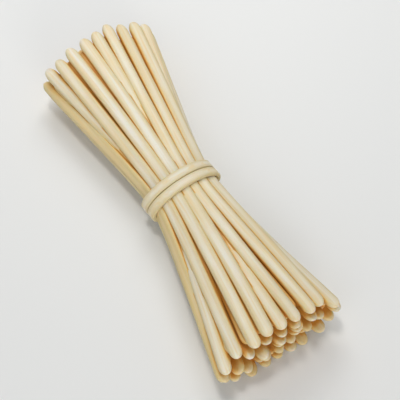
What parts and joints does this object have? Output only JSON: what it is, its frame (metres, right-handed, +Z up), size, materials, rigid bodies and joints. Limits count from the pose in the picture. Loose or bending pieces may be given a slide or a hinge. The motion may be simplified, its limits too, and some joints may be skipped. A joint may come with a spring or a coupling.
{
  "type": "bundle of dry linguine",
  "caption": "Hand-sized bundle of flat dry pasta strands lying on its side, tied round the middle with two turns of a flat band and fanned out at both ends.",
  "frame": {"origin": "on the table below the middle of the whole bundle, which is 1.6 mm from the middle of its tie", "axes": "+X along the strands towards the end that is nearest in the picture, +Y across the bundle, +Z up"},
  "size_m": [0.2602, 0.0906, 0.0472],
  "materials": {
    "dry_pasta": "dry semolina, cream-yellow and matt with fine lengthwise streaks",
    "pasta_band": "matt cream-yellow, a little paler than the strands"
  },
  "bodies": {
    "root": {"linguine_strands": "dry_pasta", "tie_band_far": "pasta_band", "tie_band_near": "pasta_band"}
  },
  "joints": []
}
